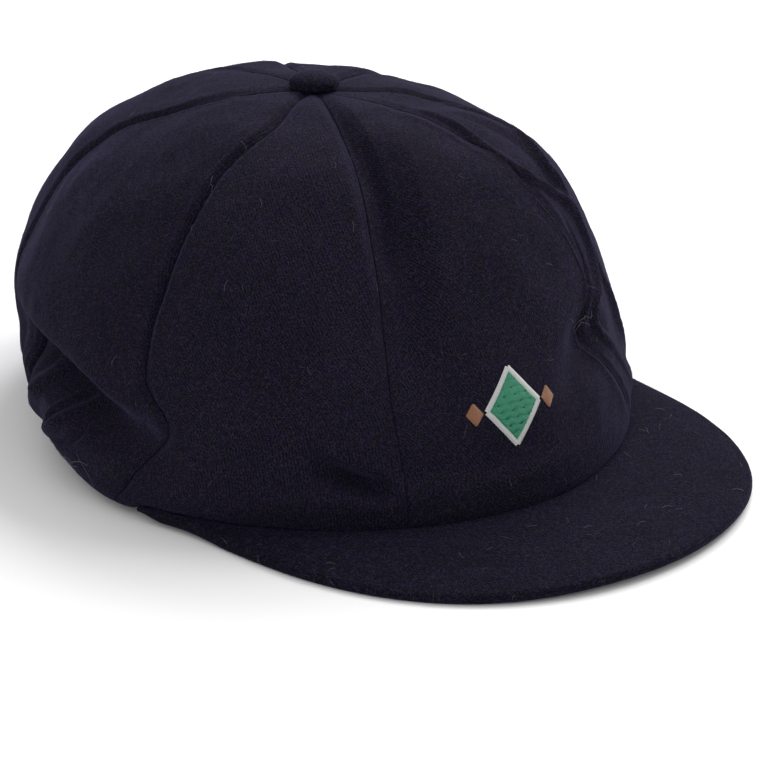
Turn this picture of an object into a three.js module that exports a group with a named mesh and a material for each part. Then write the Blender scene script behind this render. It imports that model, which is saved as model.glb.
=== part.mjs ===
import * as THREE from 'three';

// A baggy cricket cap in wool cloth, standing on a table: eight crown panels, a cloth covered
// button and a short, nearly flat peak. Millimetres, +Z up. The peak points along -Y and the
// wearer's right is -X.
// An angle goes round the crown in degrees: 0 at the front, 90 at the wearer's right, 180 behind.
// A level goes up a panel, from 0 at its lower edge to 1 at the hole under the button.

// Lower edge of the crown, measured from its middle
const bandFront = 93;
const bandBack = 95.6;
const bandSide = 95.5;

// Crown: its height above the seam with the peak, and how far the button lies behind the middle
const crownHeight = 96.9;
const jointHeight = 5.1;
const apexBack = 12.5;
const apexLeft = 0.65;

// Cloth: the doubled wall of a panel, and the gap that neighbouring pieces keep
const wall = 2;
const gap = 0.3;

// Peak: how far it reaches past the crown, its board with cloth on both sides, thicker where it is
// sewn in and thin at its two ends, its rounded edge, how much lower its sides lie than its middle,
// and the shortest way over which its top falls from the seam
const peakReach = 44;
const peakThickness = 3;
const peakSeamThickness = 3.3;
const peakEndThickness = 1.6;
const peakEdgeRound = 1.4;
const peakArch = 1.5;
const peakShortestFall = 6;

// Button and the shank that goes through the hole where the panels meet
const buttonRadius = 7.4;
const buttonHeight = 4.8;
const buttonEdgeRound = 2;
const shankRadius = 2.4;

// Depths of the forms in the cloth: the valleys along the seams, the fall of each panel towards
// its seams, the folds, and the gathers on the elastic behind
const seamDepth = 1.5;
const seamHalfWidth = 3.8;
const panelFall = 1.6;
const foldHeight = 8;
const foldHalfWidth = 12;
const gatherDepth = 3.6;

// Share of panelFall by which the middle of a panel stands outside the smooth crown
const panelFullness = 0.35;

// A seam's valley opens above the lower edge and is shallower at the button, as a share of its
// depth. Folds end where the cloth is sewn down.
const seamOpenLevel = 0.1;
const seamFadeLevel = 0.78;
const seamDepthAtButton = 0.3;
const foldSewnLevel = 0.06;

// Gathers are deepest along the elastic and gone above it, no two quite alike.
const gatherFullLevel = 0.05;
const gatherEndLevel = 0.24;
const gatherFadeShare = 0.15;
const gatherUneven = 0.25;
const gatherBeat = 1.9;

// The four upward curves that shape the crown. Each leaves the band at an angle from level,
// and its pull and dome are shares of crownHeight, its shoulder a share of its band size.
const upwardCurves = {
  front: { band: bandFront, lean: 104, pull: 0.959, shoulder: 0.711, dome: 0.068 },
  right: { band: bandSide, lean: 85.4, pull: 0.543, shoulder: 0.571, dome: 0.082 },
  back: { band: bandBack, lean: 37.6, pull: 0.605, shoulder: 0.924, dome: 0.115 },
  left: { band: bandSide, lean: 90.4, pull: 0.599, shoulder: 0.555, dome: 0.097 },
};

// The band is a little pointed between its four sides, and the crown above it is round.
const bandExponent = 1.087;

// The lower edge is level over the peak, drops beside its corners, is drawn up by the elastic and
// meets the table behind. Heights are shares of jointHeight. The last one mirrors the one before
// the middle of the back, so that the edge is level there.
const hem = {
  angles: [0, 40, 80, 84, 90, 97, 105, 120, 140, 160, 180, 200],
  heights: [1, 1, 1, 0.76, 0.68, 0.82, 1.12, 1.3, 1.1, 0.45, 0, 0.45],
};

// Angle of each seam at these levels. Two seams that bend are pulled aside by folds.
const seamLevels = [0, 0.08, 0.16, 0.25, 0.4, 0.65, 0.8, 1];
const seams = {
  front_right: { angles: [32.5, 31.7, 31.8, 31.3, 31.4, 33.3, 35.3, 38], depth: 0.4 },
  right: { angles: [87, 78, 71.5, 77.5, 79, 77.8, 71, 74], depth: 1 },
  back_right: { angles: [126, 122, 121, 128, 131, 128, 117, 113], depth: 0.7 },
  back_centre_right: { angles: [160, 163, 167, 170, 174, 177, 181, 185], depth: 0.8 },
  back_centre_left: { angles: [200, 204, 208, 212, 217, 219, 221, 222], depth: 0.8 },
  back_left: { angles: [234, 240, 246, 252, 257, 260, 262, 264], depth: 0.8 },
  left: { angles: [274, 279, 284, 289, 298, 309, 322, 317], depth: 1 },
  front_left: { angles: [324, 333, 343, 338, 343, 353, 357, 361], depth: 1.2 },
};

// Panels between two seams, with the number of gathers along the elastic and the share of the
// panel, counted from its first seam, where the gathers begin and end.
const panels = [
  { name: 'panel_front', from: 'front_left', to: 'front_right', gathers: 0, begin: 0, end: 1 },
  { name: 'panel_front_right', from: 'front_right', to: 'right', gathers: 0, begin: 0, end: 1 },
  { name: 'panel_right', from: 'right', to: 'back_right', gathers: 5, begin: 0.8, end: 1 },
  { name: 'panel_back_right', from: 'back_right', to: 'back_centre_right', gathers: 6, begin: 0.15, end: 1 },
  { name: 'panel_back', from: 'back_centre_right', to: 'back_centre_left', gathers: 6, begin: 0, end: 1 },
  { name: 'panel_back_left', from: 'back_centre_left', to: 'back_left', gathers: 6, begin: 0, end: 1 },
  { name: 'panel_left', from: 'back_left', to: 'left', gathers: 5, begin: 0, end: 0.2 },
  { name: 'panel_front_left', from: 'left', to: 'front_left', gathers: 0, begin: 0, end: 1 },
];

// Folds and dents. Each point is an angle, a level and a height as a share of foldHeight, where a
// negative height goes in. The width is a share of foldHalfWidth, and the droop says how far the
// cloth sags there, as a share of its height.
const folds = [
  {
    name: 'lip over the tuck on the right', width: 1.1, droop: 1.1,
    points: [
      [136, 0.3, 0], [124, 0.3, 0.3], [108, 0.29, 0.42], [94, 0.27, 0.42],
      [84, 0.235, 0.36], [75, 0.205, 0.26], [69.5, 0.16, 0.2], [66, 0.09, 0.1], [64, 0.04, 0],
    ],
  },
  {
    name: 'tuck below the lip', width: 0.95, droop: 0,
    points: [
      [134, 0.19, 0], [122, 0.19, -0.7], [108, 0.185, -1.2], [96, 0.17, -1.15],
      [86, 0.15, -0.95], [79, 0.13, -0.6], [74, 0.1, -0.25], [70, 0.06, 0],
    ],
  },
  {
    name: 'ridge that drops from the lip', width: 0.5, droop: 0,
    points: [[107, 0.22, 0], [109, 0.18, 0.45], [112, 0.12, 0.45], [119, 0.03, 0.2]],
  },
  {
    name: 'gather beside it', width: 0.4, droop: 0,
    points: [[97, 0.17, 0], [100, 0.145, 0.3], [105, 0.08, 0.35], [109.5, 0.03, 0.15]],
  },
  {
    name: 'crease at the foot of the front right seam', width: 0.55, droop: 0,
    points: [[48, 0.1, 0], [42, 0.08, -0.3], [36, 0.055, -0.35], [33, 0.035, 0]],
  },
  {
    name: 'valley beside the front right seam', width: 0.95, droop: 0,
    points: [
      [31, 0.82, 0], [29, 0.72, -0.16], [27, 0.55, -0.3], [26, 0.435, -0.42],
      [25.5, 0.34, -0.42], [26.5, 0.25, -0.3], [29, 0.18, -0.12], [31, 0.12, 0],
    ],
  },
  {
    name: 'dent beside the badge', width: 0.9, droop: 0,
    points: [[-2, 0.14, 0], [-9, 0.14, -0.2], [-15, 0.16, -0.3], [-21, 0.17, -0.2]],
  },
  {
    name: 'roll on the front left', width: 0.5, droop: 0,
    points: [
      [334, 0.75, 0], [332, 0.66, 0.15], [329, 0.56, 0.22], [331, 0.41, 0.2],
      [329, 0.325, 0.13], [325, 0.25, 0.1], [325, 0.18, 0.12], [322, 0.12, 0.12], [317, 0.05, 0],
    ],
  },
  {
    name: 'bulge over the front left of the peak', width: 1.4, droop: 0,
    points: [[330, 0.2, 0], [323, 0.15, 0.04], [316, 0.1, 0.12], [308, 0.06, 0.1], [300, 0.04, 0]],
  },
  {
    name: 'tuck on the left', width: 1, droop: 0,
    points: [[226, 0.2, 0], [240, 0.19, -0.6], [256, 0.17, -0.8], [270, 0.14, -0.6], [284, 0.1, 0]],
  },
  {
    name: 'lip over the tuck on the left', width: 1.1, droop: 1.1,
    points: [[226, 0.3, 0], [240, 0.3, 0.2], [256, 0.28, 0.3], [272, 0.25, 0.2], [286, 0.2, 0]],
  },
];

// Seen from above, the peak is widest in front and dies away at peakEnd on both sides, a little
// sooner on the left. Its sides bend down between two shares of bandSide from the middle.
const peakEnd = 80;
const peakRoundness = 3.04;
const peakTaperRight = 3.3;
const peakTaperLeft = 4.2;
const peakFlatShare = 0.22;
const peakLowShare = 0.72;

// Share of peakEnd past which the peak thins towards its ends, and the largest share of its
// thickness that the rounded edge takes
const peakThinShare = 0.93;
const peakRoundShare = 0.42;

const radians = THREE.MathUtils.degToRad;
const smooth = THREE.MathUtils.smoothstep;
const blend = THREE.MathUtils.lerp;

// Height of a smooth curve through points at rising positions.
function curveThrough(positions, heights, position) {
  const last = positions.length - 1;
  const slope = (i) => {
    const before = Math.max(i - 1, 0);
    const after = Math.min(i + 1, last);
    return (heights[after] - heights[before]) / (positions[after] - positions[before]);
  };
  let i = 0;
  while (i < last - 1 && position > positions[i + 1]) {
    i += 1;
  }
  const span = positions[i + 1] - positions[i];
  const t = THREE.MathUtils.clamp((position - positions[i]) / span, 0, 1);
  const start = (1 + 2 * t) * (1 - t) ** 2 * heights[i] + t * (1 - t) ** 2 * span * slope(i);
  const end = t ** 2 * (3 - 2 * t) * heights[i + 1] + t ** 2 * (t - 1) * span * slope(i + 1);
  return start + end;
}

// Reach from the middle and height above the band, part of the way up one of the four curves.
function alongUpwardCurve({ band, lean, pull, shoulder, dome }, level) {
  const curve = new THREE.CubicBezierCurve(
    new THREE.Vector2(band, 0),
    new THREE.Vector2(
      band + pull * crownHeight * Math.cos(radians(lean)),
      pull * crownHeight * Math.sin(radians(lean)),
    ),
    new THREE.Vector2(shoulder * band, (1 + dome) * crownHeight),
    new THREE.Vector2(0, crownHeight),
  );
  return curve.getPoint(level);
}

function hemHeight(angle) {
  const turn = THREE.MathUtils.euclideanModulo(angle, 360);
  return jointHeight * curveThrough(hem.angles, hem.heights, Math.min(turn, 360 - turn));
}

// Smooth outside of the crown, before seams and folds. The curves are mixed by direction.
function crownBase(angle, level) {
  const side = Math.sin(radians(angle));
  const ahead = Math.cos(radians(angle));
  const lengthwise = alongUpwardCurve(ahead > 0 ? upwardCurves.front : upwardCurves.back, level);
  const across = alongUpwardCurve(side > 0 ? upwardCurves.right : upwardCurves.left, level);
  const exponent = blend(bandExponent, 1, level);
  const drop = (hemHeight(angle) - jointHeight) * (1 - level) ** 3;
  return new THREE.Vector3(
    apexLeft * level - Math.sign(side) * Math.abs(side) ** exponent * across.x,
    apexBack * level - Math.sign(ahead) * Math.abs(ahead) ** exponent * lengthwise.x,
    jointHeight + drop + ahead ** 2 * lengthwise.y + side ** 2 * across.y,
  );
}

// Near the top the surface closes in on a round hole for the shank.
const closingLevel = 0.965;
const holeRadius = shankRadius + gap;
const apex = new THREE.Vector3(apexLeft, apexBack, jointHeight + crownHeight);

function ramp(value, low, high) {
  return THREE.MathUtils.clamp((value - low) / (high - low), 0, 1);
}

function crownSurface(angle, level) {
  const point = crownBase(angle, Math.min(level, closingLevel));
  const outward = new THREE.Vector3(point.x - apex.x, point.y - apex.y, 0).setLength(holeRadius);
  return point.lerp(outward.add(apex), ramp(level, closingLevel, 1));
}

// The wall is level at its lower edge, so that it stands flat on the peak.
const levelEdge = 0.08;

function outwardDirection(angle, level) {
  const turn = 1; // degrees
  const climb = 0.01; // of a level
  const high = Math.min(level + climb, 1);
  const low = Math.max(level - climb, 0);
  const around = crownSurface(angle + turn, level).sub(crownSurface(angle - turn, level));
  const upward = crownSurface(angle, high).sub(crownSurface(angle, low));
  const outward = upward.cross(around).normalize();
  outward.z *= smooth(level, 0, levelEdge);
  return outward.normalize();
}

// A rounded bump of height 1 that ends at distance 1.
function bump(distance) {
  return Math.max(0, 1 - distance ** 2) ** 2;
}

// The folds' paths on the smooth crown, as short straight pieces.
const foldPieces = folds.map(({ points, width, droop }) => {
  const places = points.map((_, i) => i);
  const column = (index, place) => curveThrough(places, points.map((row) => row[index]), place);
  const stepsPerPoint = 3;
  const steps = (points.length - 1) * stepsPerPoint;
  const path = Array.from({ length: steps + 1 }, (_, i) => {
    const place = i / stepsPerPoint;
    return {
      at: crownSurface(column(0, place), column(1, place)),
      height: column(2, place) * foldHeight,
    };
  });
  return { path, halfWidth: width * foldHalfWidth, droop };
});

// How far the folds push the cloth out at a point, and how far they let it sag.
function foldForms(point) {
  const forms = { relief: 0, sag: 0 };
  for (const { path, halfWidth, droop } of foldPieces) {
    let nearest = Infinity;
    let height = 0;
    for (let i = 1; i < path.length; i += 1) {
      const line = new THREE.Line3(path[i - 1].at, path[i].at);
      const share = line.closestPointToPointParameter(point, true);
      const distance = line.at(share, new THREE.Vector3()).distanceTo(point);
      if (distance < nearest) {
        nearest = distance;
        height = blend(path[i - 1].height, path[i].height, share);
      }
    }
    const relief = height * bump(nearest / halfWidth);
    forms.relief += relief;
    forms.sag += droop * relief;
  }
  return forms;
}

function seamAngle(name, level) {
  return curveThrough(seamLevels, seams[name].angles, level);
}

// First and last angle of a panel at a level, held off its seams by half the gap.
function panelEdges(panel, level) {
  const first = seamAngle(panel.from, level);
  const seamEnd = seamAngle(panel.to, level);
  const last = seamEnd < first ? seamEnd + 360 : seamEnd;
  const perDegree = (angle) => crownSurface(angle + 0.5, level).distanceTo(crownSurface(angle - 0.5, level));
  const hold = gap / 2;
  return {
    from: first + hold / perDegree(first),
    to: last - hold / perDegree(last),
    width: perDegree((first + last) / 2) * (last - first),
  };
}

// Depth of the gathers, from 0 on their crests to 1.
function gatherShape({ gathers, begin, end }, share, level) {
  const count = gathers * share;
  const hollow = 0.5 + 0.5 * Math.cos(2 * Math.PI * count);
  const uneven = 1 - gatherUneven + gatherUneven * Math.sin(gatherBeat * count + gathers);
  const fade = (middle) => smooth(share, middle - gatherFadeShare, middle + gatherFadeShare);
  const started = begin > 0 ? fade(begin) : 1;
  const ended = end < 1 ? fade(end) : 0;
  const upTo = 1 - smooth(level, gatherFullLevel, gatherEndLevel);
  return hollow * uneven * started * (1 - ended) * upTo;
}

// Where the cloth of a panel lies, part of the way across it, with one point on each of its faces.
function panelPoints(panel, share, level, edges) {
  const angle = blend(edges.from, edges.to, share);
  const point = crownSurface(angle, level);
  const outward = outwardDirection(angle, level);
  const nearButton = smooth(level, seamFadeLevel, closingLevel);
  const opening = smooth(level, 0, seamOpenLevel) * blend(1, seamDepthAtButton, nearButton);
  const valley = (name, distance) => seams[name].depth * bump(distance / seamHalfWidth);
  const seamValleys = valley(panel.from, share * edges.width)
    + valley(panel.to, (1 - share) * edges.width);
  const fall = panelFall * (Math.abs(2 * share - 1) ** 4 - panelFullness);
  const gathers = panel.gathers > 0 ? gatherDepth * gatherShape(panel, share, level) : 0;
  const folds = foldForms(point);
  const sewn = smooth(level, 0, foldSewnLevel);
  const closing = 1 - ramp(level, closingLevel, 1);
  const relief = sewn * folds.relief - opening * (seamDepth * seamValleys + fall) - gathers;
  point.z -= closing * sewn * folds.sag;
  return {
    outer: point.clone().addScaledVector(outward, closing * relief),
    inner: point.clone().addScaledVector(outward, closing * relief - wall),
  };
}

// Closed body between an outer and an inner grid of points, both as rows of equal length.
function solidBetween(outer, inner) {
  const rows = outer.length;
  const columns = outer[0].length;
  const vertices = [...outer.flat(), ...inner.flat()].flatMap((point) => point.toArray());
  const out = (row, column) => row * columns + column;
  const back = (row, column) => rows * columns + out(row, column);
  const faces = [];
  const quad = (a, b, c, d) => faces.push(a, b, c, a, c, d);
  for (let r = 0; r < rows - 1; r += 1) {
    for (let c = 0; c < columns - 1; c += 1) {
      quad(out(r, c), out(r + 1, c), out(r + 1, c + 1), out(r, c + 1));
      quad(back(r, c), back(r, c + 1), back(r + 1, c + 1), back(r + 1, c));
    }
    quad(out(r, 0), back(r, 0), back(r + 1, 0), out(r + 1, 0));
    quad(out(r, columns - 1), out(r + 1, columns - 1), back(r + 1, columns - 1), back(r, columns - 1));
  }
  for (let c = 0; c < columns - 1; c += 1) {
    quad(out(0, c), out(0, c + 1), back(0, c + 1), back(0, c));
    quad(out(rows - 1, c), back(rows - 1, c), back(rows - 1, c + 1), out(rows - 1, c + 1));
  }
  const geometry = new THREE.BufferGeometry();
  geometry.setAttribute('position', new THREE.Float32BufferAttribute(vertices, 3));
  geometry.setIndex(faces);
  geometry.computeVertexNormals();
  return geometry;
}

// Rows lie closer where the cloth is folded, and columns closer beside the seams. A gathered
// panel has a column on the crest and in the hollow of every gather.
const rowLevels = [
  0, 0.02, 0.045, 0.075, 0.105, 0.135, 0.165, 0.195, 0.225, 0.255, 0.29,
  0.335, 0.39, 0.46, 0.54, 0.62, 0.7, 0.78, 0.85, 0.9, 0.94, closingLevel, 1,
];
const plainColumns = [0, 0.04, 0.095, 0.19, 0.34, 0.5, 0.66, 0.81, 0.905, 0.96, 1];

function panelGeometry(panel) {
  const allGathered = panel.gathers > 0 && panel.begin === 0 && panel.end === 1;
  const count = 2 * panel.gathers;
  const evenColumns = Array.from({ length: count + 1 }, (_, i) => i / count);
  const columns = allGathered ? evenColumns : plainColumns;
  const outer = [];
  const inner = [];
  for (const level of rowLevels) {
    const edges = panelEdges(panel, level);
    const row = columns.map((share) => panelPoints(panel, share, level, edges));
    outer.push(row.map((place) => place.outer));
    inner.push(row.map((place) => place.inner));
  }
  return solidBetween(outer, inner);
}

// How far the peak reaches past the crown at an angle.
function peakDepth(angle) {
  const share = Math.min(Math.abs(angle) / peakEnd, 1);
  const taper = angle < 0 ? peakTaperLeft : peakTaperRight;
  return peakReach * (1 - share ** peakRoundness) ** taper;
}

// The peak starts under the inside of the crown's cloth. Its top rises to the seam and its sides
// bend down to the table.
const peakTop = jointHeight - gap;
const peakStations = [0, 0.15, 0.4, 0.7, 1];
const peakEdgeTurns = [30, 55, 75];

function peakGeometry() {
  const top = [];
  const bottom = [];
  const sections = 32;
  for (let i = 0; i <= sections; i += 1) {
    const angle = blend(-peakEnd, peakEnd, i / sections);
    const rim = crownBase(angle, 0);
    const direction = new THREE.Vector3(rim.x, rim.y, 0).normalize();
    const depth = peakDepth(angle);
    const thin = smooth(Math.abs(angle), peakThinShare * peakEnd, peakEnd);
    const lift = thin * (peakSeamThickness - peakEndThickness);
    const seamThickness = peakSeamThickness - lift;
    const round = Math.min(peakEdgeRound, peakRoundShare * Math.min(wall + depth, seamThickness));
    const flat = wall + depth - round;
    const stations = peakStations.map((share) => ({ out: share * flat, rounding: 0 }));
    for (const turn of peakEdgeTurns) {
      stations.push({
        out: flat + round * Math.sin(radians(turn)),
        rounding: round * (1 - Math.cos(radians(turn))),
      });
    }
    const topRow = [];
    const bottomRow = [];
    for (const { out, rounding } of stations) {
      const place = rim.clone().addScaledVector(direction, out - wall);
      const fromCrown = ramp(out, wall, wall + Math.max(depth, peakShortestFall));
      const beside = smooth(Math.abs(place.x), peakFlatShare * bandSide, peakLowShare * bandSide);
      const low = peakTop - seamThickness - peakArch * beside * fromCrown;
      const board = Math.min(peakThickness, seamThickness);
      const high = blend(peakTop, low + board, fromCrown);
      topRow.push(new THREE.Vector3(place.x, place.y, high - rounding));
      bottomRow.push(new THREE.Vector3(place.x, place.y, low + rounding));
    }
    top.push(topRow);
    bottom.push(bottomRow);
  }
  return solidBetween(top, bottom);
}

// The button's underside clears the highest cloth below it.
function buttonSeatHeight() {
  let highest = 0;
  for (let angle = 0; angle < 360; angle += 15) {
    for (let level = closingLevel - 0.06; level <= 1; level += 0.005) {
      const point = crownSurface(angle, level);
      if (Math.hypot(point.x - apex.x, point.y - apex.y) <= buttonRadius) {
        highest = Math.max(highest, point.z);
      }
    }
  }
  return highest + gap;
}

// Shares of the dome's height and of the button's radius that shape its shoulder.
const buttonShoulder = 0.6;
const buttonCrown = 0.55;

function buttonGeometry(seat) {
  const profile = new THREE.Path();
  const shankBottom = apex.z - wall - seat;
  const domeRise = buttonHeight - buttonEdgeRound;
  profile.moveTo(0, shankBottom);
  profile.lineTo(shankRadius, shankBottom);
  profile.lineTo(shankRadius, 0);
  profile.lineTo(buttonRadius - buttonEdgeRound / 2, 0);
  profile.quadraticCurveTo(buttonRadius, 0, buttonRadius, buttonEdgeRound);
  profile.bezierCurveTo(
    buttonRadius, buttonEdgeRound + buttonShoulder * domeRise,
    buttonCrown * buttonRadius, buttonHeight,
    0, buttonHeight,
  );
  const geometry = new THREE.LatheGeometry(profile.getPoints(6), 24);
  geometry.rotateX(Math.PI / 2);
  return geometry;
}

function cloth(name, geometry, colour) {
  const material = new THREE.MeshStandardMaterial({ color: colour, roughness: 0.95, metalness: 0 });
  const mesh = new THREE.Mesh(geometry, material);
  mesh.name = name;
  return mesh;
}

const woolColour = 0x201e2d;
const peakColour = 0x1d1b29;
const group = new THREE.Group();
for (const panel of panels) {
  group.add(cloth(panel.name, panelGeometry(panel), woolColour));
}
group.add(cloth('peak', peakGeometry(), peakColour));
const seatHeight = buttonSeatHeight();
const button = cloth('button', buttonGeometry(seatHeight), woolColour);
button.position.set(apex.x, apex.y, seatHeight);
group.add(button);

// The origin is the middle of the footprint, on the table.
const box = new THREE.Box3().setFromObject(group, true);
const middle = box.getCenter(new THREE.Vector3());
group.position.set(-middle.x, -middle.y, -box.min.z);

export default group;
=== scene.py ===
import math
from collections import namedtuple

import bmesh
import bpy
import numpy as np
from mathutils import Matrix, Vector
from mathutils.bvhtree import BVHTree


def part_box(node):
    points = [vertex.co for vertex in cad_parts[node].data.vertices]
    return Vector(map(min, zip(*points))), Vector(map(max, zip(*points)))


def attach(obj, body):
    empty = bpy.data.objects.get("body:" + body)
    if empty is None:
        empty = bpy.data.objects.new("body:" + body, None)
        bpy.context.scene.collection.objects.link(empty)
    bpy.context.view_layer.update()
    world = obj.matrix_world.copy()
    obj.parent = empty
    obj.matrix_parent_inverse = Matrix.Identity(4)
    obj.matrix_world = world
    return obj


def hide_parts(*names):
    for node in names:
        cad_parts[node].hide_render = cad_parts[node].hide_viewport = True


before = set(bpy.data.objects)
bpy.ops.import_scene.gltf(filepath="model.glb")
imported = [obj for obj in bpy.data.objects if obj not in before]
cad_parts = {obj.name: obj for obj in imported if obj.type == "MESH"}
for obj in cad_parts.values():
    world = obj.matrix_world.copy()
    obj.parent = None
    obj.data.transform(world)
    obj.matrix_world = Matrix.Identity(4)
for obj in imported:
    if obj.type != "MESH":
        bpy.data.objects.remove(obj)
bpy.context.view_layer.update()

# The crown is eight panels of milled wool cloth, cut wider than the head and sewn edge to edge with
# their turnings inside. An elastic in the hem gathers it behind, so the cloth sags and folds over it.
mm = 0.001
crown_height = 96.9 * mm
joint_height = 5.1 * mm
apex_back = 12.5 * mm
apex_left = 0.65 * mm
band_front, band_back, band_side = 93 * mm, 95.6 * mm, 95.5 * mm
cloth_wall = 2 * mm
seam_gap = 0.06 * mm
hole_radius = 2.7 * mm
closing_level = 0.965
band_exponent = 1.087

# Band, lean from level in degrees, and pull, shoulder and dome as shares of crown height and band.
upward_curves = {
    "front": (band_front, 104, 0.959, 0.711, 0.068),
    "right": (band_side, 85.4, 0.543, 0.571, 0.082),
    "back": (band_back, 37.6, 0.605, 0.924, 0.115),
    "left": (band_side, 90.4, 0.599, 0.555, 0.097),
}
hem_angles = (0, 40, 79, 81.5, 84, 90, 97, 105, 120, 140, 160, 180, 200)
hem_heights = (1, 1, 1, 0.66, 0.56, 0.6, 0.8, 1.12, 1.3, 1.1, 0.45, 0, 0.45)

seam_levels = (0, 0.08, 0.16, 0.25, 0.4, 0.65, 0.8, 1)
seam_angles = {
    "front_right": (32.5, 31.7, 31.8, 31.3, 31.4, 33.3, 35.3, 38),
    "right": (87, 78, 71.5, 77.5, 79, 77.8, 71, 74),
    "back_right": (126, 122, 121, 128, 131, 128, 117, 113),
    "back_centre_right": (160, 163, 167, 170, 174, 177, 181, 185),
    "back_centre_left": (200, 204, 208, 212, 217, 219, 221, 222),
    "back_left": (234, 240, 246, 252, 257, 260, 262, 264),
    "left": (274, 279, 284, 289, 298, 309, 322, 317),
    "front_left": (324, 333, 343, 338, 343, 353, 357, 361),
}
# How deep each seam lies, as a share of seam_depth, how far its edges roll over, what share of its
# depth is left at its foot, the level by which it is at full depth, and how far the panels fall
# towards it, as a share of panel_fall.
SeamForm = namedtuple("SeamForm", "depth roll foot full_level fall")
seam_forms = {
    "front_right": SeamForm(1.1, 0.7 * mm, 0.2, 0.62, 0.8),
    "right": SeamForm(1.2, 0.9 * mm, 0.3, 0.4, 1),
    "back_right": SeamForm(0.8, 0.8 * mm, 0.6, 0.3, 0.8),
    "back_centre_right": SeamForm(0.5, 0.7 * mm, 0.6, 0.3, 0.5),
    "back_centre_left": SeamForm(0.5, 0.7 * mm, 0.6, 0.3, 0.5),
    "back_left": SeamForm(0.6, 0.7 * mm, 0.6, 0.3, 0.6),
    "left": SeamForm(0.8, 0.9 * mm, 0.6, 0.3, 0.8),
    "front_left": SeamForm(0.28, 0.4 * mm, 1, 0.3, 0),
}
# Each panel's two seams, its gathers, and the share of its width over which they run.
panels = {
    "panel_front": ("front_left", "front_right", 0, 0, 1),
    "panel_front_right": ("front_right", "right", 0, 0, 1),
    "panel_right": ("right", "back_right", 5, 0.8, 1),
    "panel_back_right": ("back_right", "back_centre_right", 6, 0.15, 1),
    "panel_back": ("back_centre_right", "back_centre_left", 6, 0, 1),
    "panel_back_left": ("back_centre_left", "back_left", 6, 0, 1),
    "panel_left": ("back_left", "left", 5, 0, 0.2),
    "panel_front_left": ("left", "front_left", 0, 0, 1),
}

seam_depth = 1.15 * mm
seam_half_width = 3.1 * mm
panel_fall = 1.6 * mm
panel_fullness = 0.35
gather_depth = 3.6 * mm
gather_fade = 0.15
# The levels over which forms begin above the hem and end towards the button.
seam_foot_level, fold_foot_level, fall_foot_level = 0.05, 0.06, 0.1
gather_levels = (0.05, 0.24)
soft_levels = (0.8, 0.95)
fading_share, fading_levels = 0.65, (0.7, 0.93)
fold_height = 8 * mm
fold_half_width = 12 * mm
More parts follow.
